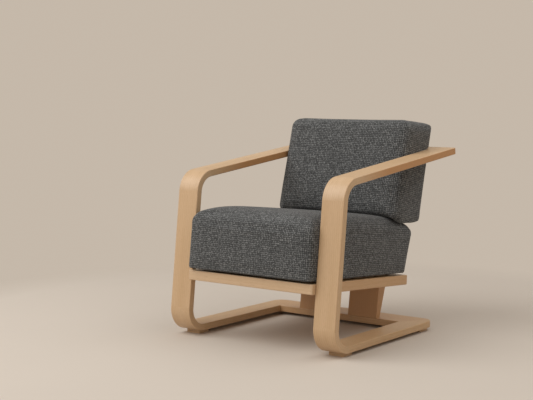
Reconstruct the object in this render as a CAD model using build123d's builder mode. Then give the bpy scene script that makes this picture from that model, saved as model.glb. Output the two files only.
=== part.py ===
"""Lounge chair with two bent timber side frames, a slatted seat and loose cushions.

Millimetres. +Z is up, the chair faces -Y, +X is the right-hand side seen from the front.
The origin is on the floor, at the middle of the chair's outline.
"""

import os
from math import cos, radians, sin, tan

from build123d import *

os.makedirs("parts", exist_ok=True)

# Overall sizes
overall_width = 730.0
overall_depth = 842.0

# Timber band of the side frames: runner, leg and arm
band_width = 90.0
band_thickness = 25.0
bend_radius = 85.0
edge_round = 3.0
leg_rake = 6.7
leg_setback = 5.5
arm_slope = 6.06
arm_front_height = 599.5

# Feet
foot_height = 12.0
foot_width = 60.0
foot_length = 55.0
front_foot_advance = 12.0
rear_foot_inset = 28.0

# Rear bar on the floor and rear rail between the arms
base_setback = 153.0
bar_width = 115.0
bar_corner_radius = 45.0
rail_width = 58.0
rail_corner_radius = 9.0

# Back uprights, which stand on the rear bar and carry the seat on a shoulder
upright_lean = 19.0
upright_thickness = 25.0
upright_width = 128.0
upright_gap = 100.0
shoulder_depth = 26.0

# Seat frame
seat_front_height = 250.7
seat_front_setback = 15.3
seat_tilt = 4.24
seat_thickness = 36.0
side_rail_overrun = 3.8
front_rail_depth = 60.0
side_rail_width = 45.0
rear_rail_depth = 45.0
front_rail_round = 6.0

# Seat slats and the ledgers under their ends
slat_count = 6
slat_width = 58.0
slat_thickness = 18.0
slat_proud = 9.0
slat_end_gap = 1.0
ledger_width = 20.0
ledger_height = 22.0
ledger_end_gap = 2.0

# Dowels, loose tenons and screws
dowel_diameter = 8.0
dowel_length = 48.0
dowel_spread = 44.0
seat_dowel_spread = 18.0
dowel_fit = 0.1
dowel_end_room = 1.0
tenon_thickness = 8.0
tenon_width = 46.0
tenon_length = 40.0
tenon_fit = 0.15
screw_diameter = 4.5
screw_head_diameter = 9.0
screw_head_height = 2.6
screw_slot_width = 1.1
screw_slot_length = 5.2
screw_slot_depth = 1.6
screw_fit = 0.1
screw_recess = 0.4
sketch_tolerance = 0.01
foot_screw_recess = 4.0
foot_screw_length = 24.0
rear_foot_screw_spread_x = 40.0
front_foot_screw_spread_y = 24.0
front_foot_screw_setback = 6.0
rear_foot_screw_spread_y = 36.0
slat_screw_length = 32.0
slat_screw_spread = 30.0
ledger_screw_length = 42.0
upright_screw_length = 55.0
upright_screw_spread = 76.0

# Seat cushion
cushion_rest_gap = 0.3
cushion_side_gap = 3.0
seat_cushion_overhang = 18.5
seat_cushion_front_lean = 3.2
seat_cushion_rear_gap = 4.0
seat_cushion_border = 168.0
seat_cushion_shoulder = 197.0
seat_cushion_height = 219.0
seat_cushion_shoulder_inset = 48.0
seat_cushion_crown_inset = 140.0
seat_cushion_fall = 2.2
seat_cushion_front_corner = 20.0
seat_cushion_rear_corner = 15.0
seat_cushion_draw = 2.0
seat_cushion_top_round = 13.0
seat_cushion_base_round = 7.0

# Back cushion
arm_clearance = 0.5
upright_clearance = 0.6
rail_clearance = 0.6
back_cushion_seat_rise = 29.2
back_cushion_bottom_rise = 43.0
back_cushion_top_height = 789.0
back_cushion_top_fall = 21.0
back_cushion_wrap = 32.0
back_cushion_border = 193.0
back_cushion_shoulder = 198.0
back_cushion_depth = 201.0
back_cushion_shoulder_inset = 45.0
back_cushion_crown_inset = 110.0
back_cushion_rear_lean = 14.0
back_cushion_front_lean = 15.9
back_cushion_top_corner = 36.0
back_cushion_bottom_corner = 24.0
back_cushion_rear_corner = 14.0
back_cushion_draw = 1.5
back_cushion_front_round = 20.0
back_cushion_rear_round = 10.0

# Positions that follow from the sizes above
outer_x = overall_width / 2
inner_x = outer_x - band_width
band_x = (outer_x + inner_x) / 2
front_y = -overall_depth / 2
rear_y = overall_depth / 2
sides = (("left", -1), ("right", 1))

# Directions in the side view, in degrees up from the rearward horizontal
leg_angle = 90 - leg_rake
upright_angle = 90 - upright_lean


def along(point, angle, distance):
    """Point at a distance from another in the side view."""
    return (
        point[0] + distance * cos(radians(angle)),
        point[1] + distance * sin(radians(angle)),
    )


def crossing(point_a, angle_a, point_b, angle_b):
    """Crossing point of two lines in the side view."""
    ya, za = cos(radians(angle_a)), sin(radians(angle_a))
    yb, zb = cos(radians(angle_b)), sin(radians(angle_b))
    dy, dz = point_b[0] - point_a[0], point_b[1] - point_a[1]
    distance = (dy * zb - dz * yb) / (ya * zb - za * yb)
    return along(point_a, angle_a, distance)


def side_plane(x, point, angle):
    """Plane at x whose normal runs along a direction of the side view."""
    return Plane(
        origin=(x, point[0], point[1]),
        x_dir=(1, 0, 0),
        z_dir=(0, cos(radians(angle)), sin(radians(angle))),
    )


def finish(part, name):
    """Name a finished piece and write it."""
    part.label = name
    export_step(part, f"parts/{name}.step")


def dowels(spots, room=0.0, fit=0.0, mode=Mode.ADD):
    """Dowels centred on their joints, or the bores for them."""
    with Locations(*spots):
        Cylinder(dowel_diameter / 2 + fit, dowel_length + 2 * room, mode=mode)


def dowel_bores(spots):
    """Bores for dowels in the piece that is being made."""
    dowels(spots, dowel_end_room, dowel_fit, Mode.SUBTRACT)


def tenons(spots, fit=0.0, mode=Mode.ADD):
    """Loose tenons across mitres, or the mortises for them."""
    with Locations(*spots):
        Box(
            tenon_width + 2 * fit,
            tenon_thickness + 2 * fit,
            tenon_length + 2 * fit,
            mode=mode,
        )


def screws(spots, length):
    """Countersunk screws whose heads lie at their spots and point along the spots' normals."""
    with Locations(*spots):
        Cylinder(
            screw_diameter / 2,
            length,
            align=(Align.CENTER, Align.CENTER, Align.MAX),
        )
        Cone(
            screw_diameter / 2,
            screw_head_diameter / 2,
            screw_head_height,
            align=(Align.CENTER, Align.CENTER, Align.MAX),
        )
        for turn in (0, 90):
            Box(
                screw_slot_length,
                screw_slot_width,
                screw_slot_depth,
                rotation=(0, 0, turn),
                align=(Align.CENTER, Align.CENTER, Align.MAX),
                mode=Mode.SUBTRACT,
            )


def screw_bores(spots, length, recess):
    """Countersunk bores for screws in the piece that is being made."""
    with Locations(*spots):
        Cylinder(
            screw_diameter / 2 + screw_fit,
            length + dowel_end_room,
            align=(Align.CENTER, Align.CENTER, Align.MAX),
            mode=Mode.SUBTRACT,
        )
        Cone(
            screw_diameter / 2 + screw_fit,
            screw_head_diameter / 2 + screw_fit,
            screw_head_height,
            align=(Align.CENTER, Align.CENTER, Align.MAX),
            mode=Mode.SUBTRACT,
        )
        Cylinder(
            screw_head_diameter / 2 + screw_fit,
            recess,
            align=(Align.CENTER, Align.CENTER, Align.MIN),
            mode=Mode.SUBTRACT,
        )


def edges_of(builder, face):
    """Edges of the piece that is being made that lie on the outline of one of its sections."""
    outline = face.outer_wire()
    return builder.edges().filter_by(
        lambda edge: all(outline.distance_to(edge @ share) < sketch_tolerance for share in (0.1, 0.5, 0.9))
    )


def pair(plane, spread, vertical=False):
    """Two spots on a plane, half the spread either side of its origin."""
    half = spread / 2
    if vertical:
        return [plane * Pos(0, -half, 0), plane * Pos(0, half, 0)]
    return [plane * Pos(-half, 0, 0), plane * Pos(half, 0, 0)]


# Side frame: outer line of the band, with the points where its bends start and end
band_inner_radius = bend_radius - band_thickness
leg_base = (front_y + leg_setback, 0.0)
lower_corner_point = crossing(leg_base, leg_angle, (0, foot_height), 0)
upper_corner_point = crossing(leg_base, leg_angle, (0, arm_front_height), 0)
lower_tangent = bend_radius * tan(radians((90 + leg_rake) / 2))
upper_tangent = bend_radius * tan(radians((90 - leg_rake - arm_slope) / 2))
runner_front = along(lower_corner_point, 0, lower_tangent)
leg_bottom = along(lower_corner_point, leg_angle, lower_tangent)
leg_top = along(upper_corner_point, leg_angle, -upper_tangent)
arm_front = along(upper_corner_point, arm_slope, upper_tangent)
lower_centre = along(runner_front, 90, bend_radius)
upper_centre = along(leg_top, -leg_rake, bend_radius)

# Rear ends of the arms and of the base
arm_end_y = rear_y - band_thickness * sin(radians(arm_slope))
arm_end = crossing(arm_front, arm_slope, (arm_end_y, 0), 90)
arm_length = (arm_end_y - arm_front[0]) / cos(radians(arm_slope))
bar_rear_y = rear_y - base_setback
bar_front_y = bar_rear_y - bar_width
bar_top_z = foot_height + band_thickness
arm_plane = Plane(
    origin=(0, arm_end[0], arm_end[1]),
    x_dir=(1, 0, 0),
    z_dir=(0, -sin(radians(arm_slope)), cos(radians(arm_slope))),
)

# Seat frame: its plane is the top of the rails, with local Y running back along the seat
seat_front_y = front_y + seat_front_setback
seat_front_top = (seat_front_y, seat_front_height)
seat_front_bottom = along(seat_front_top, -90 - seat_tilt, seat_thickness)
seat_plane = Plane(
    origin=(0, seat_front_y, seat_front_height),
    x_dir=(1, 0, 0),
    z_dir=(0, sin(radians(seat_tilt)), cos(radians(seat_tilt))),
)
side_rail_x = inner_x - side_rail_width
seat_middle_z = -seat_thickness / 2

# Uprights: front and rear lines, and where they meet the base, the seat and the rail
upright_front_base = (bar_front_y, bar_top_z)
upright_rear_base = along(
    upright_front_base, 0, upright_thickness / cos(radians(upright_lean))
)
rail_underside = along(arm_end, arm_slope - 90, band_thickness)
upright_front_top = crossing(upright_front_base, upright_angle, rail_underside, arm_slope)
upright_rear_top = crossing(upright_rear_base, upright_angle, rail_underside, arm_slope)
shoulder_rear = crossing(upright_front_base, upright_angle, seat_front_bottom, -seat_tilt)
shoulder_front = along(shoulder_rear, -seat_tilt, -shoulder_depth)
rear_rail_top = crossing(upright_front_base, upright_angle, seat_front_top, -seat_tilt)
upright_x = (upright_gap + upright_width) / 2


def seat_distance(point):
    """Distance of a side-view point back along the seat from its front edge."""
    dy, dz = point[0] - seat_front_top[0], point[1] - seat_front_top[1]
    return dy * cos(radians(seat_tilt)) - dz * sin(radians(seat_tilt))


seat_length = seat_distance(rear_rail_top) + side_rail_overrun


# Joints of the bands: dowels across each butt joint, two side by side
band_joints = {
    "runner": along(runner_front, 90, band_thickness / 2),
    "leg_bottom": along(leg_bottom, -leg_rake, band_thickness / 2),
    "leg_top": along(leg_top, -leg_rake, band_thickness / 2),
    "arm": along(arm_front, arm_slope - 90, band_thickness / 2),
}
band_joint_angles = {
    "runner": 0,
    "leg_bottom": leg_angle,
    "leg_top": leg_angle,
    "arm": arm_slope,
}


def band_spots(side, joint):
    """Dowel spots of one joint of a side frame."""
    plane = side_plane(side * band_x, band_joints[joint], band_joint_angles[joint])
    return pair(plane, dowel_spread)


# Mitres: loose tenons square to the mitre lines, in the middle of the timber
def mitre_spot(plane, side, front, back):
    """Tenon spot on a mitre that runs from the inner front to the outer rear corner."""
    run = Vector(side * band_width, back - front, 0).normalized()
    middle = Plane(
        origin=(side * band_x, (front + back) / 2, 0),
        x_dir=run,
        z_dir=(run.Y, -run.X, 0),
    )
    return plane * middle.location


base_middle = Plane.XY.offset(foot_height + band_thickness / 2)
arm_middle = arm_plane.offset(-band_thickness / 2)
base_mitres = {
    side: mitre_spot(base_middle, side, bar_front_y, bar_rear_y) for _, side in sides
}
arm_mitres = {side: mitre_spot(arm_middle, side, -rail_width, 0) for _, side in sides}

# Legs to the seat frame, the seat frame's own corners, and the uprights' two ends
leg_middle = along(leg_base, -leg_rake, band_thickness / 2)
leg_seat_joint = crossing(
    leg_middle,
    leg_angle,
    along(seat_front_top, -90 - seat_tilt, seat_thickness / 2),
    -seat_tilt,
)


def leg_seat_spots(side):
    """Dowel spots between a leg and the end of the front rail."""
    plane = Plane(
        origin=(side * inner_x, leg_seat_joint[0], leg_seat_joint[1]),
        x_dir=(0, sin(radians(leg_rake)), cos(radians(leg_rake))),
        z_dir=(1, 0, 0),
    )
    return pair(plane, seat_dowel_spread)


def front_corner_spots(side):
    """Dowel spots between the front rail and a side rail."""
    corner = Plane(
        origin=(side * (inner_x - side_rail_width / 2), front_rail_depth, seat_middle_z),
        x_dir=(1, 0, 0),
        z_dir=(0, 1, 0),
    )
    return pair(seat_plane * corner.location, seat_dowel_spread)


def rear_corner_spots(side):
    """Dowel spots between the rear rail and a side rail."""
    middle_y = seat_distance(rear_rail_top) - rear_rail_depth / 2
    middle_y += seat_middle_z * tan(radians(upright_lean - seat_tilt))
    corner = Plane(
        origin=(side * side_rail_x, middle_y, seat_middle_z),
        x_dir=(0, 1, 0),
        z_dir=(1, 0, 0),
    )
    return pair(seat_plane * corner.location, seat_dowel_spread)


def upright_foot_spots(side):
    """Dowel spots between an upright and the rear bar."""
    middle = ((upright_front_base[0] + upright_rear_base[0]) / 2, bar_top_z)
    plane = side_plane(side * upright_x, along(middle, 90, upright_foot_rise), 90)
    return pair(plane, upright_screw_spread)


def upright_top_spots(side):
    """Dowel spots between an upright and the rear rail."""
    middle = along(upright_front_top, arm_slope, upright_top_width / 2)
    top = along(middle, upright_angle, -upright_top_drop)
    return pair(side_plane(side * upright_x, top, upright_angle), upright_screw_spread)


def upright_screw_spots(side):
    """Spots of the screws from an upright's rear face into the seat's rear rail."""
    level = along(rear_rail_top, -90 - seat_tilt, seat_thickness / 2)
    face = crossing(upright_rear_base, upright_angle, level, -upright_lean)
    head = along(face, -upright_lean, -screw_recess)
    return pair(
        side_plane(side * upright_x, head, -upright_lean), upright_screw_spread
    )


# Dowels of the uprights stop short of the far faces of the bar and the rail
upright_foot_rise = dowel_length / 2 - (band_thickness - 2 * edge_round)
upright_top_drop = upright_foot_rise
upright_top_width = upright_rear_top[0] - upright_front_top[0]


# Feet
foot_front_ys = {
    "front": runner_front[0] - front_foot_advance,
    "rear": bar_rear_y - rear_foot_inset - foot_length,
}


foot_screw_spread_xs = {"front": 0.0, "rear": rear_foot_screw_spread_x}
foot_screw_spread_ys = {"front": front_foot_screw_spread_y, "rear": rear_foot_screw_spread_y}
foot_screw_setbacks = {"front": front_foot_screw_setback, "rear": 0.0}


def foot_screw_spots(side, place):
    """Spots of a foot's two screws, clear of the runner's dowels and the mitre tenon."""
    middle_y = foot_front_ys[place] + foot_length / 2 + foot_screw_setbacks[place]
    return [
        Plane(
            origin=(
                side * (band_x + end * foot_screw_spread_xs[place] / 2),
                middle_y - end * foot_screw_spread_ys[place] / 2,
                foot_screw_recess,
            ),
            x_dir=(1, 0, 0),
            z_dir=(0, 0, -1),
        )
        for end in (-1, 1)
    ]


# Slats and ledgers, in the seat's plane
deck_front = front_rail_depth
deck_rear = (
    seat_distance(rear_rail_top)
    - rear_rail_depth
    - seat_thickness * tan(radians(upright_lean - seat_tilt))
)
slat_gap = (deck_rear - deck_front - slat_count * slat_width) / (slat_count + 1)
slat_fronts = [
    deck_front + slat_gap + i * (slat_width + slat_gap) for i in range(slat_count)
]
slat_half_length = side_rail_x - slat_end_gap
ledger_top = slat_proud - slat_thickness
ledger_x = side_rail_x - ledger_width / 2


def slat_screw_spots(front):
    """Spots of the four screws through a slat into the ledgers."""
    return [
        seat_plane * Pos(side * ledger_x, front + slat_width / 2 + step, slat_proud - screw_recess)
        for _, side in sides
        for step in (-slat_screw_spread / 2, slat_screw_spread / 2)
    ]


def ledger_screw_spots(side):
    """Spots of the screws through a ledger into its side rail, between the slats."""
    turned = Plane(
        origin=(0, 0, 0),
        x_dir=(0, 1, 0),
        z_dir=(-side, 0, 0),
    ).location
    return [
        seat_plane
        * Pos(
            side * (side_rail_x - ledger_width + screw_recess),
            slat_front - slat_gap / 2,
            ledger_top - ledger_height / 2,
        )
        * turned
        for slat_front in slat_fronts[1:]
    ]


# Straight boards of the band: profile in the side view, extruded across its width
def band_profile(*points):
    """Closed outline in the side view."""
    with BuildLine() as outline:
        Polyline(*points, close=True)
    make_face(outline.edges())


def bend_profile(centre, start_angle, end_angle):
    """Outline of a bend: two concentric arcs and the two joint faces."""
    angles = (start_angle, (start_angle + end_angle) / 2, end_angle)
    outer = [along(centre, angle, bend_radius) for angle in angles]
    inner = [along(centre, angle, band_inner_radius) for angle in angles]
    with BuildLine() as outline:
        ThreePointArc(*outer)
        Line(outer[2], inner[2])
        ThreePointArc(*reversed(inner))
        Line(inner[0], outer[0])
    make_face(outline.edges())


leg_axis = Axis((0, 0, 0), (0, sin(radians(leg_rake)), cos(radians(leg_rake))))
arm_axis = Axis((0, 0, 0), (0, cos(radians(arm_slope)), sin(radians(arm_slope))))
seat_axis = Axis((0, 0, 0), (0, cos(radians(seat_tilt)), -sin(radians(seat_tilt))))
upright_axis = Axis((0, 0, 0), (0, sin(radians(upright_lean)), cos(radians(upright_lean))))

for side_name, side in sides:
    band_plane = Plane.YZ.offset(side * band_x - band_width / 2)

    with BuildPart() as runner:
        with BuildSketch(Plane.XY.offset(foot_height)):
            with BuildLine():
                Polyline(
                    (side * inner_x, runner_front[0]),
                    (side * outer_x, runner_front[0]),
                    (side * outer_x, bar_rear_y),
                    (side * inner_x, bar_front_y),
                    close=True,
                )
            make_face()
            with Locations((0, bar_rear_y)):
                RectangleRounded(
                    overall_width,
                    2 * overall_depth,
                    bar_corner_radius,
                    align=(Align.CENTER, Align.MAX),
                    mode=Mode.INTERSECT,
                )
        extrude(amount=band_thickness)
        rounded = runner.edges().filter_by(Axis.Y) + runner.edges().filter_by(GeomType.CIRCLE)
        fillet(rounded, edge_round)
        dowel_bores(band_spots(side, "runner"))
        tenons([base_mitres[side]], tenon_fit, Mode.SUBTRACT)
        screw_bores(foot_screw_spots(side, "front"), foot_screw_length, foot_screw_recess)
        screw_bores(foot_screw_spots(side, "rear"), foot_screw_length, foot_screw_recess)
    finish(runner.part, f"{side_name}_runner")

    with BuildPart() as lower_bend:
        with BuildSketch(band_plane):
            bend_profile(lower_centre, 270, 180 - leg_rake)
        extrude(amount=band_width)
        fillet(lower_bend.edges().filter_by(GeomType.CIRCLE), edge_round)
        dowel_bores(band_spots(side, "runner") + band_spots(side, "leg_bottom"))
    finish(lower_bend.part, f"{side_name}_lower_bend")

    with BuildPart() as leg:
        with BuildSketch(band_plane):
            band_profile(
                leg_bottom,
                leg_top,
                along(leg_top, -leg_rake, band_thickness),
                along(leg_bottom, -leg_rake, band_thickness),
            )
        extrude(amount=band_width)
        fillet(leg.edges().filter_by(leg_axis), edge_round)
        dowel_bores(band_spots(side, "leg_bottom") + band_spots(side, "leg_top"))
        dowel_bores(leg_seat_spots(side))
    finish(leg.part, f"{side_name}_leg")

    with BuildPart() as upper_bend:
        with BuildSketch(band_plane):
            bend_profile(upper_centre, 180 - leg_rake, 90 + arm_slope)
        extrude(amount=band_width)
        fillet(upper_bend.edges().filter_by(GeomType.CIRCLE), edge_round)
        dowel_bores(band_spots(side, "leg_top") + band_spots(side, "arm"))
    finish(upper_bend.part, f"{side_name}_upper_bend")

    with BuildPart() as arm:
        with BuildSketch(arm_plane):
            with BuildLine():
                Polyline(
                    (side * inner_x, -arm_length),
                    (side * outer_x, -arm_length),
                    (side * outer_x, 0),
                    (side * inner_x, -rail_width),
                    close=True,
                )
            make_face()
            RectangleRounded(
                overall_width,
                2 * overall_depth,
                rail_corner_radius,
                align=(Align.CENTER, Align.MAX),
                mode=Mode.INTERSECT,
            )
        extrude(amount=-band_thickness)
        rounded = arm.edges().filter_by(arm_axis) + arm.edges().filter_by(GeomType.CIRCLE)
        fillet(rounded, edge_round)
        dowel_bores(band_spots(side, "arm"))
        tenons([arm_mitres[side]], tenon_fit, Mode.SUBTRACT)
    finish(arm.part, f"{side_name}_arm")

    with BuildPart() as upright:
        with BuildSketch(Plane.YZ.offset(side * upright_x - upright_width / 2)):
            band_profile(
                upright_front_base,
                shoulder_front,
                shoulder_rear,
                upright_front_top,
                upright_rear_top,
                upright_rear_base,
            )
        extrude(amount=upright_width)
        fillet(upright.edges().filter_by(upright_axis), edge_round)
        dowel_bores(upright_foot_spots(side) + upright_top_spots(side))
        screw_bores(upright_screw_spots(side), upright_screw_length, screw_recess)
    finish(upright.part, f"{side_name}_upright")

    with BuildPart() as side_rail:
        with BuildSketch(seat_plane):
            with Locations((side * (inner_x - side_rail_width / 2), front_rail_depth)):
                Rectangle(
                    side_rail_width,
                    seat_length - front_rail_depth,
                    align=(Align.CENTER, Align.MIN),
                )
        extrude(amount=-seat_thickness)
        fillet(side_rail.edges().filter_by(seat_axis), edge_round)
        dowel_bores(front_corner_spots(side) + rear_corner_spots(side))
        screw_bores(ledger_screw_spots(side), ledger_screw_length, screw_recess)
    finish(side_rail.part, f"seat_{side_name}_rail")

    with BuildPart() as ledger:
        with BuildSketch(seat_plane.offset(ledger_top)):
            with Locations((side * ledger_x, (deck_front + deck_rear) / 2)):
                Rectangle(ledger_width, deck_rear - deck_front - 2 * ledger_end_gap)
        extrude(amount=-ledger_height)
        screw_bores(ledger_screw_spots(side), ledger_screw_length, screw_recess)
        for slat_front in slat_fronts:
            screw_bores(slat_screw_spots(slat_front), slat_screw_length, screw_recess)
    finish(ledger.part, f"{side_name}_slat_ledger")

    for place, foot_front_y in foot_front_ys.items():
        with BuildPart() as foot:
            with BuildSketch():
                with Locations((side * band_x, foot_front_y + foot_length / 2)):
                    Rectangle(foot_width, foot_length)
            extrude(amount=foot_height)
            fillet(foot.edges().filter_by(Axis.Z), edge_round)
            screw_bores(foot_screw_spots(side, place), foot_screw_length, foot_screw_recess)
        finish(foot.part, f"{place}_{side_name}_foot")

# Rear bar on the floor
with BuildPart() as rear_bar:
    with BuildSketch(Plane.XY.offset(foot_height)):
        with BuildLine():
            Polyline(
                (-outer_x, bar_rear_y),
                (outer_x, bar_rear_y),
                (inner_x, bar_front_y),
                (-inner_x, bar_front_y),
                close=True,
            )
        make_face()
        with Locations((0, bar_rear_y)):
            RectangleRounded(
                overall_width,
                2 * overall_depth,
                bar_corner_radius,
                align=(Align.CENTER, Align.MAX),
                mode=Mode.INTERSECT,
            )
    extrude(amount=band_thickness)
    rounded = rear_bar.edges().filter_by(Axis.X) + rear_bar.edges().filter_by(GeomType.CIRCLE)
    fillet(rounded, edge_round)
    for _, side in sides:
        tenons([base_mitres[side]], tenon_fit, Mode.SUBTRACT)
        dowel_bores(upright_foot_spots(side))
        screw_bores(foot_screw_spots(side, "rear"), foot_screw_length, foot_screw_recess)
finish(rear_bar.part, "rear_floor_bar")

# Rear rail between the arms, behind the back cushion
with BuildPart() as rear_arm_rail:
    with BuildSketch(arm_plane):
        with BuildLine():
            Polyline(
                (-outer_x, 0),
                (outer_x, 0),
                (inner_x, -rail_width),
                (-inner_x, -rail_width),
                close=True,
            )
        make_face()
        RectangleRounded(
            overall_width,
            2 * overall_depth,
            rail_corner_radius,
            align=(Align.CENTER, Align.MAX),
            mode=Mode.INTERSECT,
        )
    extrude(amount=-band_thickness)
    rounded = rear_arm_rail.edges().filter_by(Axis.X)
    rounded += rear_arm_rail.edges().filter_by(GeomType.CIRCLE)
    fillet(rounded, edge_round)
    for _, side in sides:
        tenons([arm_mitres[side]], tenon_fit, Mode.SUBTRACT)
        dowel_bores(upright_top_spots(side))
finish(rear_arm_rail.part, "rear_arm_rail")

# Front rail of the seat, between the legs
with BuildPart() as front_rail:
    with BuildSketch(seat_plane):
        Rectangle(2 * inner_x, front_rail_depth, align=(Align.CENTER, Align.MIN))
    extrude(amount=-seat_thickness)
    front_rail_ends = front_rail.edges().filter_by(Axis.X, reverse=True).filter_by(seat_axis, reverse=True)
    fillet(front_rail_ends.group_by(Axis.Y)[0], front_rail_round)
    fillet(front_rail.edges().filter_by(Axis.X), edge_round)
    for _, side in sides:
        dowel_bores(leg_seat_spots(side) + front_corner_spots(side))
finish(front_rail.part, "seat_front_rail")

# Rear rail of the seat, on the uprights' shoulders and against their front faces
with BuildPart() as rear_rail:
    with BuildSketch(Plane.YZ.offset(-side_rail_x)):
        band_profile(
            shoulder_rear,
            rear_rail_top,
            along(rear_rail_top, -seat_tilt, -rear_rail_depth),
            along(shoulder_rear, -seat_tilt, -rear_rail_depth),
        )
    extrude(amount=2 * side_rail_x)
    for _, side in sides:
        dowel_bores(rear_corner_spots(side))
        screw_bores(upright_screw_spots(side), upright_screw_length, screw_recess)
finish(rear_rail.part, "seat_rear_rail")

# Slats of the seat
for number, slat_front in enumerate(slat_fronts, start=1):
    with BuildPart() as slat:
        with BuildSketch(seat_plane.offset(ledger_top)):
            with Locations((0, slat_front)):
                Rectangle(2 * slat_half_length, slat_width, align=(Align.CENTER, Align.MIN))
        extrude(amount=slat_thickness)
        fillet(slat.edges().filter_by(Axis.X).group_by(Axis.Z)[-1], edge_round)
        screw_bores(slat_screw_spots(slat_front), slat_screw_length, screw_recess)
    finish(slat.part, f"seat_slat_{number}")

# Dowels, tenons and screws, each kind as one group
with BuildPart() as band_dowels:
    for _, side in sides:
        for joint in band_joints:
            dowels(band_spots(side, joint))
finish(band_dowels.part, "band_dowels")

with BuildPart() as seat_dowels:
    for _, side in sides:
        dowels(leg_seat_spots(side) + front_corner_spots(side) + rear_corner_spots(side))
finish(seat_dowels.part, "seat_dowels")

with BuildPart() as upright_dowels:
    for _, side in sides:
        dowels(upright_foot_spots(side) + upright_top_spots(side))
finish(upright_dowels.part, "upright_dowels")

with BuildPart() as mitre_tenons:
    for _, side in sides:
        tenons([base_mitres[side], arm_mitres[side]])
finish(mitre_tenons.part, "mitre_tenons")

with BuildPart() as foot_screws:
    for _, side in sides:
        for place in foot_front_ys:
            screws(foot_screw_spots(side, place), foot_screw_length)
finish(foot_screws.part, "foot_screws")

with BuildPart() as slat_screws:
    for slat_front in slat_fronts:
        screws(slat_screw_spots(slat_front), slat_screw_length)
finish(slat_screws.part, "slat_screws")

with BuildPart() as ledger_screws:
    for _, side in sides:
        screws(ledger_screw_spots(side), ledger_screw_length)
finish(ledger_screws.part, "ledger_screws")

with BuildPart() as upright_screws:
    for _, side in sides:
        screws(upright_screw_spots(side), upright_screw_length)
finish(upright_screws.part, "upright_screws")


# Cushions: sections with drawn-in sides and rounded corners, lofted through the thickness
def cushion_section(half_width, front, rear, inset, draw, corners):
    """Closed outline, set in all round, whose corners get rounder the further it is set in."""
    half = min(half_width, (rear - front) / 2)
    right, low, high = half_width - inset, front + inset, rear - inset
    middle = (low + high) / 2
    with BuildLine() as outline:
        ThreePointArc((-right, low), (0, low + draw), (right, low))
        ThreePointArc((right, low), (right - draw, middle), (right, high))
        ThreePointArc((right, high), (0, high - draw), (-right, high))
        ThreePointArc((-right, high), (draw - right, middle), (-right, low))
    make_face(outline.edges())
    for corner, row in zip(corners, (0, -1)):
        roundness = corner / half + (1 - corner / half) * inset / half
        fillet(vertices().group_by(Axis.Y)[row], (half - inset) * roundness)


# Seat cushion: a border with a lean at the rear, then a crown that falls towards the rear
seat_cushion_base = slat_proud + cushion_rest_gap
seat_cushion_half = inner_x - cushion_side_gap
seat_cushion_rear = seat_distance(rear_rail_top) - seat_cushion_rear_gap
seat_cushion_middle = (seat_cushion_rear - seat_cushion_overhang) / 2


def seat_cushion_section(height, inset, fall):
    """Outline of the seat cushion at a height over the slats, on a plane that falls to the rear."""
    side_height = min(height, seat_cushion_border)
    front_lean = side_height * tan(radians(seat_cushion_front_lean))
    rear_lean = (seat_cushion_base + side_height) * tan(radians(upright_lean - seat_tilt))
    middle = seat_plane * Pos(0, seat_cushion_middle, seat_cushion_base + height)
    tilt = radians(seat_tilt + fall)
    plane = Plane(origin=middle.position, x_dir=(1, 0, 0), z_dir=(0, sin(tilt), cos(tilt)))
    with BuildSketch(plane) as section:
        cushion_section(
            seat_cushion_half,
            front_lean - seat_cushion_overhang - seat_cushion_middle,
            seat_cushion_rear + rear_lean - seat_cushion_middle,
            inset,
            seat_cushion_draw,
            (seat_cushion_front_corner, seat_cushion_rear_corner),
        )
    return section.sketch.face()


with BuildPart() as seat_cushion:
    seat_base_face = seat_cushion_section(0, 0, 0)
    seat_edge_face = seat_cushion_section(seat_cushion_border, 0, seat_cushion_fall)
    loft([seat_base_face, seat_edge_face])
    loft(
        [
            seat_edge_face,
            seat_cushion_section(seat_cushion_shoulder, seat_cushion_shoulder_inset, seat_cushion_fall),
            seat_cushion_section(seat_cushion_height, seat_cushion_crown_inset, seat_cushion_fall),
        ]
    )
    fillet(edges_of(seat_cushion, seat_edge_face), seat_cushion_top_round)
    fillet(edges_of(seat_cushion, seat_base_face), seat_cushion_base_round)
finish(seat_cushion.part, "seat_cushion")

# Back cushion: a border from its rear face, then a crown towards the sitter
back_cushion_bottom_height = seat_edge_face.bounding_box().min.Z + back_cushion_seat_rise
back_cushion_rear_y = (
    crossing(upright_front_base, upright_angle, (0, back_cushion_bottom_height), 0)[0]
    + back_cushion_wrap
)
back_cushion_half = inner_x - arm_clearance


def back_cushion_section(depth, inset, bottom_corner, top_corner):
    """Outline of the back cushion at a depth forward of its rear face."""
    share = depth / back_cushion_depth
    lean = back_cushion_rear_lean + share * (back_cushion_front_lean - back_cushion_rear_lean)
    rise = share * back_cushion_bottom_rise
    top = back_cushion_top_height - (1 - share) * back_cushion_top_fall
    plane = Plane(
        origin=(
            0,
            back_cushion_rear_y - depth + rise * tan(radians(lean)),
            back_cushion_bottom_height + rise,
        ),
        x_dir=(1, 0, 0),
        z_dir=(0, -cos(radians(lean)), sin(radians(lean))),
    )
    with BuildSketch(plane) as section:
        cushion_section(
            back_cushion_half,
            0,
            (top - back_cushion_bottom_height - rise) / cos(radians(lean)),
            inset,
            back_cushion_draw,
            (bottom_corner, top_corner),
        )
    return section.sketch.face()


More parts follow.
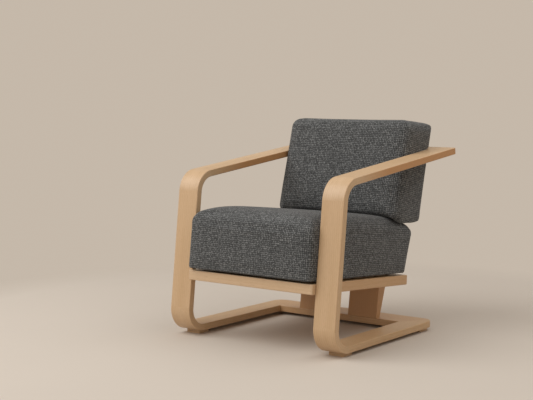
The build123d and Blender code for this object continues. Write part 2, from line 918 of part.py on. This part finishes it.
with BuildPart() as back_cushion:
    front_corners = (back_cushion_bottom_corner, back_cushion_top_corner)
    back_rear_face = back_cushion_section(0, 0, back_cushion_rear_corner, back_cushion_rear_corner)
    back_edge_face = back_cushion_section(back_cushion_border, 0, *front_corners)
    loft([back_rear_face, back_edge_face])
    loft(
        [
            back_edge_face,
            back_cushion_section(back_cushion_shoulder, back_cushion_shoulder_inset, *front_corners),
            back_cushion_section(back_cushion_depth, back_cushion_crown_inset, *front_corners),
        ]
    )
    fillet(edges_of(back_cushion, back_edge_face), back_cushion_front_round)
    fillet(edges_of(back_cushion, back_rear_face), back_cushion_rear_round)
    # Room for the rear rail and, below it, for the rail's path as the cushion is lifted
    rail_face_top = along(
        along(arm_end, arm_slope, -rail_width - rail_clearance), arm_slope + 90, rail_clearance
    )
    rail_room_rear = crossing(rail_face_top, arm_slope, (rear_y, 0), 90)
    with BuildSketch(Plane.YZ.offset(-inner_x)):
        band_profile(
            rail_face_top,
            rail_room_rear,
            (rail_room_rear[0], back_cushion_bottom_height),
            (rail_face_top[0], back_cushion_bottom_height),
        )
    extrude(amount=2 * inner_x, mode=Mode.SUBTRACT)
    # Hollows where the cushion leans round the uprights
    upright_face = along(upright_front_base, -upright_lean, -upright_clearance)
    upright_face_top = crossing(upright_face, upright_angle, rail_underside, arm_slope)
    for _, side in sides:
        start_x = side * upright_x - upright_width / 2 - upright_clearance
        with BuildSketch(Plane.YZ.offset(start_x)):
            band_profile(
                upright_face,
                upright_face_top,
                (rear_y, upright_face_top[1]),
                (rear_y, bar_top_z),
            )
        extrude(amount=upright_width + 2 * upright_clearance, mode=Mode.SUBTRACT)
finish(back_cushion.part, "back_cushion")
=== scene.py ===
import math

import bpy
import bmesh
import numpy as np
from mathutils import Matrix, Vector


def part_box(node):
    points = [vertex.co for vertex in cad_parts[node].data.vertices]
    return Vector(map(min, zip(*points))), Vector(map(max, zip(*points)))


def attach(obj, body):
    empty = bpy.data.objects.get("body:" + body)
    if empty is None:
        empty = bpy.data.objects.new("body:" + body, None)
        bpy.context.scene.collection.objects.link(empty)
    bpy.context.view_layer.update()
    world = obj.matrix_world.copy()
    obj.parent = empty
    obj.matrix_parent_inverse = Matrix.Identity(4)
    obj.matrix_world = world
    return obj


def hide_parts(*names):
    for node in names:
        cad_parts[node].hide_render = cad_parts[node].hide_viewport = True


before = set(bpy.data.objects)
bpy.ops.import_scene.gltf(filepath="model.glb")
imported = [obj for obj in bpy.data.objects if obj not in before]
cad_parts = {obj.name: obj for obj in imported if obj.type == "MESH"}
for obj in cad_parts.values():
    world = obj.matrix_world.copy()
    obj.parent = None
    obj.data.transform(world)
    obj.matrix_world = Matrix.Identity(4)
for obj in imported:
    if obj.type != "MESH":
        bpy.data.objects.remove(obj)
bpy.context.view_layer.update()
print("frame loaded:", len(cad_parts), "nodes")


# shader wiring: expressions on sockets become Math nodes

class Wire:
    def __init__(self, net, socket):
        self.net, self.socket = net, socket

    def math(self, operation, *others):
        return self.net.node("ShaderNodeMath", {"operation": operation}, dict(enumerate((self, *others))))

    def __add__(self, other): return self.math("ADD", other)
    def __radd__(self, other): return self.math("ADD", other)
    def __sub__(self, other): return self.math("SUBTRACT", other)
    def __mul__(self, other): return self.math("MULTIPLY", other)
    def __truediv__(self, other): return self.math("DIVIDE", other)
    def __pow__(self, other): return self.math("POWER", other)
    def sin(self): return self.math("SINE")
    def floor(self): return self.math("FLOOR")
    def size(self): return self.math("ABSOLUTE")
    def over(self, other): return self.math("GREATER_THAN", other)
    def clipped(self): return self.net.node("ShaderNodeClamp", {}, {"Value": self})


class Net:
    def __init__(self, name):
        self.material = bpy.data.materials.new(name)
        self.material.use_nodes = True
        self.tree = self.material.node_tree
        self.shader = self.tree.nodes["Principled BSDF"]

    def node(self, kind, settings=None, inputs=None, out=0):
        made = self.tree.nodes.new(kind)
        for key, value in (settings or {}).items():
            setattr(made, key, value)
        for key, value in (inputs or {}).items():
            self.feed(made.inputs[key], value)
        if isinstance(out, list):
            return [Wire(self, made.outputs[o]) for o in out]
        return Wire(self, made.outputs[out])

    def feed(self, socket, value):
        if isinstance(value, Wire):
            self.tree.links.new(value.socket, socket)
        else:
            socket.default_value = value

    def objectPlace(self):
        return self.node("ShaderNodeTexCoord", out="Object")

    def parts(self, vector):
        return self.node("ShaderNodeSeparateXYZ", {}, {"Vector": vector}, out=["X", "Y", "Z"])

    def vector(self, x, y, z):
        return self.node("ShaderNodeCombineXYZ", {}, {"X": x, "Y": y, "Z": z})

    def noise(self, place, detail=2.0, rough=0.5):
        return self.node("ShaderNodeTexNoise", {"noise_dimensions": "3D"},
                         {"Vector": place, "Scale": 1.0, "Detail": detail, "Roughness": rough})

    def blend(self, share, first, second):
        return self.node("ShaderNodeMix", {"data_type": "RGBA"},
                         {"Factor": share, 6: first, 7: second}, out=2)

    def ramp(self, share, stops):
        made = self.node("ShaderNodeValToRGB", {}, {"Fac": share}, out="Color")
        elements = made.socket.node.color_ramp.elements
        while len(elements) < len(stops):
            elements.new(1.0)
        for element, (place, colour) in zip(elements, stops):
            element.position, element.color = place, opaque(colour)
        return made

    def finish(self, colour, rough, spec, height=None):
        self.feed(self.shader.inputs["Base Color"], colour)
        self.feed(self.shader.inputs["Roughness"], rough)
        if height is not None:
            bump = self.node("ShaderNodeBump", {}, {"Height": height, "Strength": spec["bumpStrength"],
                                                    "Distance": spec["bumpDepth"]}, out="Normal")
            self.feed(self.shader.inputs["Normal"], bump)
        for key, value in spec["constants"].items():
            self.shader.inputs[key].default_value = value
        return self.material


def opaque(colour):
    return (*colour, 1.0)


# pale oiled oak: growth lines, fibre streaks and pores run along each board; painted highlight whitens lit
# faces and bends, painted shade deepens pieces that sit in shade

oak = {
    "light": (0.640, 0.438, 0.258),
    "warm": (0.525, 0.332, 0.165),
    "pore": (0.300, 0.172, 0.078),
    # the next two colours are a painted highlight for lit faces and bends and a painted shade for pieces in
    # shade
    "pale": (0.760, 0.630, 0.490),
    "paintedShadeColour": (0.500, 0.235, 0.080),
    "broadGrain": (1.5, 13.0, 3.0),  # per metre along and across the board, noise detail
    "swayGrain": (1.1, 4.0, 2.0),
    "fibreGrain": (22.0, 620.0, 2.0),
    "poreGrain": (55.0, 1100.0, 1.0),
    "ringsPerMetre": 125.0, "ringSlant": 0.6, "ringSway": 0.045, "ringSharpness": 3.0,
    "poreFrom": 0.60, "poreRate": 7.0,
    "warmShare": 0.42, "ringShare": 0.26, "broadShare": 1.60, "fibreShare": 0.84, "poreShare": 0.35,
    "rough": 0.42, "fibreRough": 0.18, "poreRough": 0.12,
    "fibreHeight": 0.5, "poreHeight": 0.8, "ringHeight": 0.12,
    "bumpStrength": 0.22, "bumpDepth": 0.0005,
    "constants": {"Specular IOR Level": 0.60, "Coat Weight": 0.0},
}


def oakOn(along, across, through, tone, paintedLight=0.0, paintedShade=0.0):
    net = along.net

    def streaks(grain):
        lengthwise, crosswise, detail = oak[grain]
        return net.noise(net.vector(along * lengthwise, across * crosswise, through * crosswise), detail)

    fibre = streaks("fibreGrain")
    pores = ((streaks("poreGrain") - oak["poreFrom"]) * oak["poreRate"]).clipped()
    rings = across + through * oak["ringSlant"] + streaks("swayGrain") * oak["ringSway"]
    rings = (rings * oak["ringsPerMetre"] * math.tau).sin()
    rings = (rings * 0.5 + 0.5) ** oak["ringSharpness"]
    share = (streaks("broadGrain") - 0.5) * oak["broadShare"] + (fibre - 0.5) * oak["fibreShare"]
    share = (oak["warmShare"] - tone + share + rings * oak["ringShare"]).clipped()
    timber = net.blend(share, opaque(oak["light"]), opaque(oak["warm"]))
    # painted highlight whitens lit faces, painted shade darkens and warms faces in shade
    timber = net.blend(paintedLight, timber, opaque(oak["pale"]))
    timber = net.blend(paintedShade, timber, opaque(oak["paintedShadeColour"]))
    timber = net.blend(pores * oak["poreShare"], timber, opaque(oak["pore"]))
    rough = oak["rough"] + (fibre - 0.5) * oak["fibreRough"] + pores * oak["poreRough"]
    height = fibre * oak["fibreHeight"] - pores * oak["poreHeight"] - rings * oak["ringHeight"]
    return net.finish(timber, rough, oak, height)


bands = {
    "middle": 0.320,  # mid line of the side bands, from the chair's middle
    "edge": 0.0440,  # half width less a millimetre
    "edgeRate": 40000.0,
    "fadeFrom": -0.270,  # the painted shade on the narrow faces comes in gradually behind the bend
    "fadeOver": 0.200,
}


def oakAt(name, degrees, tone=0.0, paintedLight=0.0, paintedShade=0.0, edges=0.0):  # board at an angle in the side view
    net = Net(name)
    x, y, z = net.parts(net.objectPlace())
    if edges:  # painted shade darkens the two narrow faces
        offset = x.size() - bands["middle"]
        paintedShade = ((offset * offset - bands["edge"] ** 2) * bands["edgeRate"]).clipped() * edges
        paintedShade = paintedShade * ((y - bands["fadeFrom"]) / bands["fadeOver"]).clipped()
    c, s = math.cos(math.radians(degrees)), math.sin(math.radians(degrees))
    return oakOn(y * c + z * s, x, z * c - y * s, tone, paintedLight, paintedShade)


def oakAcross(name, tone=0.0, paintedLight=0.0, paintedShade=0.0):  # board that runs from side to side
    net = Net(name)
    x, y, z = net.parts(net.objectPlace())
    return oakOn(x, y, z, tone, paintedLight, paintedShade)


# painted highlight: the bends are whitened and their tone lifted where the light catches the curve
bends = {
    "lower": {"centre": (-0.3185, 0.0970), "paintedLight": 0.06},  # centre of the turn in the side view, metres
    "upper": {"centre": (-0.2686, 0.5221), "paintedLight": 0.12},
    "radius": 0.0725,
    "tone": 0.05,
}


def oakBent(name, centre, paintedLight):  # grain follows the bend
    net = Net(name)
    x, y, z = net.parts(net.objectPlace())
    y, z = y - centre[0], z - centre[1]
    reach = (y * y + z * z) ** 0.5
    return oakOn(z.math("ARCTAN2", y) * bends["radius"], x, reach, bends["tone"], paintedLight)


# plain stainless screws with a fine turned finish

steel = {
    "dull": (0.52, 0.52, 0.50),
    "bright": (0.66, 0.66, 0.64),
    "scratchesPerMetre": 900.0,
    "rough": 0.26, "scratchRough": 0.16,
    "bumpStrength": 0.1, "bumpDepth": 0.0001,
    "constants": {"Metallic": 1.0},
}


def screwSteel():
    net = Net("screwSteel")
    scratch = net.noise(net.vector(*[w * steel["scratchesPerMetre"] for w in net.parts(net.objectPlace())]))
    colour = net.blend(scratch, opaque(steel["dull"]), opaque(steel["bright"]))
    return net.finish(colour, steel["rough"] + scratch * steel["scratchRough"], steel, scratch)


# each CAD node gets its own timber or steel

def boardAngle(node):  # side-view angle of a board, measured on the CAD node itself
    flat = coords(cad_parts[node].data)[:, 1:]
    flat = flat - flat.mean(0)
    way = np.linalg.eigh(flat.T @ flat)[1][:, -1]
    return math.degrees(math.atan2(way[1], way[0]))


def coords(mesh):
    flat = np.empty(len(mesh.vertices) * 3)
    mesh.vertices.foreach_get("co", flat)
    return flat.reshape(-1, 3)


def dress(material, *nodes):
    for node in nodes:
        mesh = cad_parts[node].data
        mesh.materials.clear()
        mesh.materials.append(material)


def bothSides(pattern):
    return [pattern.format(side) for side in ("left", "right")]


# legs, arms, bends and rails get painted highlight; uprights, cross pieces and seat rails get painted shade,
# and the arms' narrow faces painted shade
dress(oakAt("oakRunner", 0.0), *bothSides("{}_runner"))
dress(oakAt("oakLeg", boardAngle("left_leg"), paintedLight=0.07), *bothSides("{}_leg"))
dress(oakAt("oakArm", boardAngle("left_arm"), paintedLight=0.10, edges=0.85), *bothSides("{}_arm"))
dress(oakAt("oakUpright", boardAngle("left_upright"), paintedShade=0.62), *bothSides("{}_upright"))
dress(oakBent("oakLowerBend", **bends["lower"]), *bothSides("{}_lower_bend"))
dress(oakBent("oakUpperBend", **bends["upper"]), *bothSides("{}_upper_bend"))
dress(oakAcross("oakCross", paintedShade=0.22), "rear_floor_bar", "seat_rear_rail")
# the front rail's tone is lifted as painted light on its lit face
dress(oakAcross("oakFrontRail", tone=0.06, paintedLight=0.20), "seat_front_rail")
dress(oakAcross("oakRearRail", paintedLight=0.10), "rear_arm_rail")
dress(oakAt("oakSeatRail", boardAngle("seat_left_rail"), paintedShade=0.26),
      *bothSides("seat_{}_rail"), *bothSides("{}_slat_ledger"))
# the slats are darkened as painted shade, so the gap under the seat cushion reads dark
dress(oakAcross("oakSlat", tone=-0.10), *[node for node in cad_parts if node.startswith("seat_slat_")])
dress(oakAt("oakFoot", 0.0, tone=-0.12), *bothSides("front_{}_foot"), *bothSides("rear_{}_foot"),
      "band_dowels", "seat_dowels", "upright_dowels", "mitre_tenons")
dress(screwSteel(), "foot_screws", "slat_screws", "ledger_screws", "upright_screws")
print("timber and steel dressed")


# charcoal basket weave: doubled yarns cross in small square cells

weave = {
    "cell": 0.0070,  # one crossing, metres
    "sway": 0.0022,  # how far the yarns wander
    "swayGrain": (3.0, 9.0),  # per metre along and across the yarn
    "dark": (0.20, (0.040, 0.042, 0.043)),  # place on the tone scale and colour
    "middle": (0.50, (0.112, 0.117, 0.120)),
    "light": (0.85, (0.380, 0.390, 0.392)),
    # painted shade in the hollows between yarns
    "paintedYarnShade": (0.004, 0.004, 0.004),
    "gapFrom": 0.22, "gapRate": 1.9,
    "yarnRound": 0.5, "yarnDip": 0.6, "yarnHeight": 0.45,
    "edgeRound": 0.45, "edgeHeight": 0.55,
    "yarnStep": 7.31, "yarnGrain": 0.30, "yarnDetail": 3.0, "yarnRough": 0.7,
    "cloudGrain": 14.0, "fuzzGrain": 1500.0,
    "yarnShare": 0.42, "cellShare": 0.34, "fuzzShare": 0.15, "cloudShare": 0.05,
    "sidePaintedLight": 0.03,  # side panels are painted a little paler, painted light that lifts their shade
    "rough": 0.86, "fuzzRough": 0.2, "fuzzHeight": 0.2,
    "bumpStrength": 0.8, "bumpDepth": 0.0011,
    "constants": {"Specular IOR Level": 0.2, "Sheen Weight": 0.12, "Sheen Roughness": 0.5},
}
panelAxes = {"sidePanel": 0, "topPanel": 2}  # face attribute and the axis it looks along
panelSeeds = {"sidePanel": 3.0, "topPanel": 7.0}  # keep the noises of the panels apart
noiseSeeds = {"swayB": 4.0, "warp": 1.7, "weft": 8.3, "cloud": 2.0, "fuzz": 5.0}


def weaveCloth(name, tilt):
    net = Net(name)
    x, y, z = net.parts(net.node("ShaderNodeVectorRotate", {"rotation_type": "X_AXIS"},
                                 {"Vector": net.objectPlace(), "Angle": tilt}))
    sideways, upward = [net.node("ShaderNodeAttribute", {"attribute_name": panel}, out="Fac")
                        for panel in panelAxes]  # the panel each face is cut from
    panel = sideways * panelSeeds["sidePanel"] + upward * panelSeeds["topPanel"]
    u = x + sideways * (y - x)
    v = z + upward * (y - z)

    def counted(run, across, seed):  # place counted in cells, with a slight sway
        alongGrain, acrossGrain = weave["swayGrain"]
        drift = net.noise(net.vector(run * alongGrain, across * acrossGrain, seed)) - 0.5
        return (run + drift * weave["sway"]) / weave["cell"]

    a, b = counted(u, v, panel), counted(v, u, panel + noiseSeeds["swayB"])
    column, row = a.floor(), b.floor()
    pair = (column + row) * 0.5
    warpUp = (pair - pair.floor()).over(0.25)
    middleA, middleB = (a * math.pi).sin().size(), (b * math.pi).sin().size()

    def yarns(run, middle):  # two round yarns in a cell, dipping at its ends
        return (run * math.tau).sin().size() ** weave["yarnRound"] * (middle * weave["yarnDip"]
                                                                      + (1 - weave["yarnDip"]))

    def yarnShade(across, along, seed):
        return net.noise(net.vector(across, along, seed), weave["yarnDetail"], weave["yarnRough"])

    warp, weft = yarns(a, middleB), yarns(b, middleA)
    edge = (middleA * middleB) ** weave["edgeRound"]
    height = (weft + warpUp * (warp - weft)) * weave["yarnHeight"] + edge * weave["edgeHeight"]
    warpTone = yarnShade(column * weave["yarnStep"], b * weave["yarnGrain"], panel + noiseSeeds["warp"])
    weftTone = yarnShade(a * weave["yarnGrain"], row * weave["yarnStep"], panel + noiseSeeds["weft"])
    yarnTone = weftTone + warpUp * (warpTone - weftTone)
    cellTone = net.node("ShaderNodeTexWhiteNoise", {"noise_dimensions": "3D"},
                        {"Vector": net.vector((a * 2.0).floor(), (b * 2.0).floor(), panel)}, out="Value")
    cloud = net.noise(net.vector(u * weave["cloudGrain"], v * weave["cloudGrain"], noiseSeeds["cloud"]))
    fuzz = net.noise(net.vector(u * weave["fuzzGrain"], v * weave["fuzzGrain"], noiseSeeds["fuzz"]), 1.0)
    # side panels carry a little painted light
    tone = (0.5 + (yarnTone - 0.5) * weave["yarnShare"] + (cellTone - 0.5) * weave["cellShare"]
            + (fuzz - 0.5) * weave["fuzzShare"] + (cloud - 0.5) * weave["cloudShare"]
            + sideways * weave["sidePaintedLight"])
    yarn = net.ramp(tone, [weave["dark"], weave["middle"], weave["light"]])
    # where a yarn dips it fades into the painted shade colour
    solid = ((height - weave["gapFrom"]) * weave["gapRate"]).clipped()
    colour = net.blend(solid, opaque(weave["paintedYarnShade"]), yarn)
    rough = weave["rough"] + (fuzz - 0.5) * weave["fuzzRough"]
    return net.finish(colour, rough, weave, height + fuzz * weave["fuzzHeight"])


# cushions: the CAD form, remeshed finely, blown up as cloth, then laid in its place

stuffing = {
    "pressure": 4.0, "stiffness": 400.0, "bending": 8.0, "mass": 0.3, "quality": 4, "frames": 20,
    "capIn": 0.0015,  # how far a point may move inwards, metres
}
seam = {"depth": 0.0008, "width": 0.10}  # metres, radians of turn round the edge


def plainMesh(name, source):
    mesh = source.copy()
    mesh.name = name
    work = bmesh.new()
    work.from_mesh(mesh)
    bmesh.ops.remove_doubles(work, verts=work.verts, dist=1e-5)
    bmesh.ops.recalc_face_normals(work, faces=work.faces)
    work.to_mesh(mesh)
    work.free()
    mesh.materials.clear()
    return mesh


def placed(name, mesh):
    piece = bpy.data.objects.new(name, mesh)
    bpy.context.scene.collection.objects.link(piece)
    return piece


def baked(piece):  # the evaluated piece as a plain mesh
    bpy.context.view_layer.update()
    graph = bpy.context.evaluated_depsgraph_get()
    mesh = bpy.data.meshes.new_from_object(piece.evaluated_get(graph), depsgraph=graph)
    mesh.name = piece.name
    return mesh


def settled(piece):  # modifiers applied
    mesh = baked(piece)
    piece.modifiers.clear()
    piece.data = mesh
    return mesh


def normals(mesh):
    flat = np.empty(len(mesh.vertices) * 3)
    mesh.vertex_normals.foreach_get("vector", flat)
    return flat.reshape(-1, 3)


def setCoords(mesh, points):
    mesh.vertices.foreach_set("co", points.ravel())
    mesh.update()


def puffed(name, node, spec):
    piece = placed(name, plainMesh(name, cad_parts[node].data))
    remesh = piece.modifiers.new("even", "REMESH")
    remesh.mode, remesh.voxel_size = "VOXEL", spec["voxel"]
    mesh = settled(piece)
    rest, outward = coords(mesh), normals(mesh)
    cloth = piece.modifiers.new("stuffing", "CLOTH")
    cloth.settings.quality = stuffing["quality"]
    cloth.settings.mass = stuffing["mass"]
    cloth.settings.tension_stiffness = stuffing["stiffness"]
    cloth.settings.compression_stiffness = stuffing["stiffness"]
    cloth.settings.bending_stiffness = stuffing["bending"]
    cloth.settings.use_pressure = True
    cloth.settings.uniform_pressure_force = stuffing["pressure"]
    cloth.settings.effector_weights.gravity = 0.0
    cloth.collision_settings.use_collision = False
    cloth.point_cache.frame_end = stuffing["frames"]
    scene = bpy.context.scene
    scene.frame_start, scene.frame_end = 1, stuffing["frames"]
    for step in range(1, stuffing["frames"] + 1):
        scene.frame_set(step)
    move = coords(baked(piece)) - rest
    piece.modifiers.clear()
    scene.frame_set(1)
    far = np.maximum(np.linalg.norm(move, axis=1), 1e-9)
    swell = (move * outward).sum(1)
    move *= np.minimum(1.0, np.where(swell < 0, stuffing["capIn"], spec["capOut"]) / far)[:, None]
    setCoords(mesh, rest + move)
    print(name, "swelled by", *np.percentile(swell * 1000, [0, 50, 100]).round(1), "mm")
    return piece


def smoothed(piece):
    step = piece.modifiers.new("soften", "SUBSURF")
    step.levels = step.render_levels = 1
    mesh = settled(piece)
    mesh.polygons.foreach_set("use_smooth", np.ones(len(mesh.polygons), bool))
    return mesh


def turned(vectors, tilt):  # into the cushion's own lean
    c, s = math.cos(tilt), math.sin(tilt)
    return vectors @ np.array([[1, 0, 0], [0, c, -s], [0, s, c]]).T


def seamGroove(mesh, tilt, axis):  # pulled-in seam where a face panel meets the border
    outward = normals(mesh)
    facing = np.abs(turned(outward, tilt))
    others = np.max(np.delete(facing, axis, axis=1), axis=1)
    away = np.arctan2(facing[:, axis], others) - math.pi / 4
    setCoords(mesh, coords(mesh) - outward * (seam["depth"] * np.exp(-(away / seam["width"]) ** 2))[:, None])


def markPanels(mesh, tilt):
    flat = np.empty(len(mesh.polygons) * 3)
    mesh.polygons.foreach_get("normal", flat)
    axes = np.abs(turned(flat.reshape(-1, 3), tilt)).argmax(1)
    for name, axis in panelAxes.items():
        mesh.attributes.new(name, "FLOAT", "FACE").data.foreach_set("value", (axes == axis).astype(float))


def eased(value, start, end):  # 0 at the start, 1 at the end, smooth between
    share = np.clip((value - start) / (end - start), 0.0, 1.0)
    return share * share * (3.0 - 2.0 * share)


def finishCushion(piece, node, tilt, spec):
    mesh = smoothed(piece)
    seamGroove(mesh, tilt, spec["faceAxis"])
    markPanels(mesh, tilt)
    mesh.materials.append(weaveCloth(spec["cloth"], tilt))
    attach(piece, node)
    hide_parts(node)
    print(node, len(mesh.polygons), "faces")


# seat cushion: flat on the slats, its cover hanging past them, with full shoulders

seatSpec = {
    "voxel": 0.0072, "capOut": 0.004, "faceAxis": 2, "cloth": "seatWeave",
    "slatGap": 0.0004, "legGap": 0.001,
    "sag": 0.0055, "sagSide": (0.232, 0.262), "sagFront": (0.372, 0.405), "sagFade": 0.09,
    "halfWidth": 0.272, "frontEdge": 0.402,
    "plump": 0.011,
    "plumpInner": (0.035, 0.15), "plumpOuter": (-0.002, 0.026),  # in from the side and front edges
    "plumpHeight": (0.10, 0.17), "plumpFront": 0.6,
}
slatLow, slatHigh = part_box("seat_slat_1")
lastLow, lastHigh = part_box("seat_slat_6")
seatTilt = math.atan2(slatHigh.z - lastHigh.z, lastLow.y - slatLow.y)
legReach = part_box("right_leg")[0].x - seatSpec["legGap"]

seat = puffed("seatCushion", "seat_cushion", seatSpec)
points = coords(seat.data)
aside, depth = np.abs(points[:, 0]), points[:, 1]
slatPlane = slatHigh.z - (depth - slatHigh.y) * math.tan(seatTilt)
points[:, 2] = np.maximum(points[:, 2], slatPlane + seatSpec["slatGap"])
overhang = np.maximum(eased(aside, *seatSpec["sagSide"]), eased(-depth, *seatSpec["sagFront"]))
points[:, 2] -= seatSpec["sag"] * overhang * (1 - eased(points[:, 2] - slatPlane, 0.0, seatSpec["sagFade"]))
inSide, inFront = seatSpec["halfWidth"] - aside, depth + seatSpec["frontEdge"]
shoulder = np.maximum(1 - eased(inSide, *seatSpec["plumpInner"]),
                      seatSpec["plumpFront"] * (1 - eased(inFront, *seatSpec["plumpInner"])))
shoulder *= eased(inSide, *seatSpec["plumpOuter"]) * eased(inFront, *seatSpec["plumpOuter"])
points[:, 2] += seatSpec["plump"] * shoulder * eased(points[:, 2] - slatPlane, *seatSpec["plumpHeight"])
points[:, 0] = np.clip(points[:, 0], -legReach, legReach)
setCoords(seat.data, points)
finishCushion(seat, "seat_cushion", seatTilt, seatSpec)


# back cushion: its side panels hang a little below the underside

backSpec = {
    "voxel": 0.0066, "capOut": 0.003, "faceAxis": 1, "cloth": "backWeave",
    "lean": 13.0,
    "underside": ((0.128, 0.318), (0.437, 0.396)),  # depths and heights of the cushion's underside
    "sagLine": 0.400,  # the side panels hang down to this height
    "sagSide": (0.228, 0.264), "sagFront": (0.140, 0.190), "sagLeast": 0.3, "sagFade": 0.10,
}
back = puffed("backCushion", "back_cushion", backSpec)
points = coords(back.data)
hang = backSpec["sagLeast"] + (1 - backSpec["sagLeast"]) * eased(points[:, 1], *backSpec["sagFront"])
hang *= eased(np.abs(points[:, 0]), *backSpec["sagSide"])
under = np.interp(points[:, 1], *backSpec["underside"])
drop = np.maximum(under - backSpec["sagLine"], 0.0) * hang
points[:, 2] -= drop * (1 - eased(points[:, 2] - under, 0.0, backSpec["sagFade"]))
setCoords(back.data, points)
finishCushion(back, "back_cushion", math.radians(backSpec["lean"]), backSpec)


# camera solved from the frame's edges in the photograph

cameraSpec = {"place": (2.51495, -3.60173, 0.9049), "azimuth": 37.293, "elevation": 5.407,
              "lens": 79.49, "sensor": 36.0, "reach": 200.0}
camera = placed("camera", bpy.data.cameras.new("camera"))
camera.data.lens, camera.data.sensor_width = cameraSpec["lens"], cameraSpec["sensor"]
camera.data.clip_end = cameraSpec["reach"]
camera.location = cameraSpec["place"]
camera.rotation_euler = (math.radians(90 - cameraSpec["elevation"]), 0, math.radians(cameraSpec["azimuth"]))
bpy.context.scene.camera = camera


# pale floor, soft studio lamps

studio = {
    "floor": (0.664, 0.600, 0.531),
    "patchDim": 0.95, "patchGrain": 1.3, "patchDetail": 4.0,
    "rough": 0.75, "patchRough": 0.1,
    "constants": {"Specular IOR Level": 0.2},
    "reach": 30.0,
    "backdrop": (0.560, 0.482, 0.400),
    "fadeFrom": 1.45,  # the floor's own shade gives way to the backdrop, metres from the chair
    "fadeOver": 0.35,
    "world": (1.0, 0.930, 0.850),
    "worldStrength": 0.44,
}
lamps = {
    "key": {"place": (-2.1, -2.8, 3.6), "target": (0.0, 0.0, 0.4), "size": 4.6, "watts": 147.0,
            "colour": (1.0, 0.99, 0.975)},
    "fill": {"place": (2.8, -1.2, 1.8), "target": (0.0, 0.0, 0.4), "size": 2.4, "watts": 3.0,
             "colour": (1.0, 0.95, 0.89)},
    "top": {"place": (1.4, 0.6, 3.0), "target": (0.9, 0.4, 0.0), "size": 3.0, "watts": 26.0,
            "colour": (1.0, 0.97, 0.94)},
}


def lamp(name, place, target, size, watts, colour):
    light = bpy.data.lights.new(name, "AREA")
    light.shape, light.size, light.energy, light.color = "DISK", size, watts, colour
    holder = placed(name, light)
    holder.location = place
    holder.rotation_euler = (Vector(place) - Vector(target)).to_track_quat("Z", "Y").to_euler()


def floorPlane(reach):
    mesh = bpy.data.meshes.new("floor")
    corners = [(-reach, -reach, 0), (reach, -reach, 0), (reach, reach, 0), (-reach, reach, 0)]
    mesh.from_pydata(corners, [], [(0, 1, 2, 3)])
    net = Net("paleFloor")
    x, y, z = net.parts(net.objectPlace())
    patch = net.vector(x * studio["patchGrain"], y * studio["patchGrain"], 0.0)
    patch = net.noise(patch, studio["patchDetail"])
    dim = [c * studio["patchDim"] for c in studio["floor"]]
    colour = net.blend(patch, opaque(studio["floor"]), opaque(dim))
    net.finish(colour, studio["rough"] + (patch - 0.5) * studio["patchRough"], studio)
    far = (((x * x + y * y) ** 0.5 - studio["fadeFrom"]) / studio["fadeOver"]).clipped()
    seen = net.node("ShaderNodeLightPath", out="Is Camera Ray")
    glow = net.node("ShaderNodeEmission", {}, {"Color": opaque(studio["backdrop"]), "Strength": 1.0})
    shaded = Wire(net, net.shader.outputs[0])
    mixed = net.node("ShaderNodeMixShader", {}, {0: far * seen, 1: shaded, 2: glow})
    net.feed(net.tree.nodes["Material Output"].inputs["Surface"], mixed)
    mesh.materials.append(net.material)
    plane = placed("floor", mesh)


def studioWorld():  # lights the chair with one colour and shows another
    world = bpy.data.worlds.new("studio")
    world.use_nodes = True
    tree = world.node_tree
    lit = tree.nodes["Background"]
    lit.inputs["Color"].default_value = opaque(studio["world"])
    lit.inputs["Strength"].default_value = studio["worldStrength"]
    shown = tree.nodes.new("ShaderNodeBackground")
    shown.inputs["Color"].default_value = opaque(studio["backdrop"])
    rays = tree.nodes.new("ShaderNodeLightPath")
    seen = tree.nodes.new("ShaderNodeMath")
    seen.operation = "MAXIMUM"
    tree.links.new(rays.outputs["Is Camera Ray"], seen.inputs[0])
    tree.links.new(rays.outputs["Is Glossy Ray"], seen.inputs[1])
    choose = tree.nodes.new("ShaderNodeMixShader")
    for number, source in enumerate((seen, lit, shown)):
        tree.links.new(source.outputs[0], choose.inputs[number])
    tree.links.new(choose.outputs[0], tree.nodes["World Output"].inputs["Surface"])
    bpy.context.scene.world = world


floorPlane(studio["reach"])
studioWorld()
for name, spec in lamps.items():
    lamp(name, **spec)
bpy.context.scene.view_settings.view_transform = "Standard"
print("studio ready")
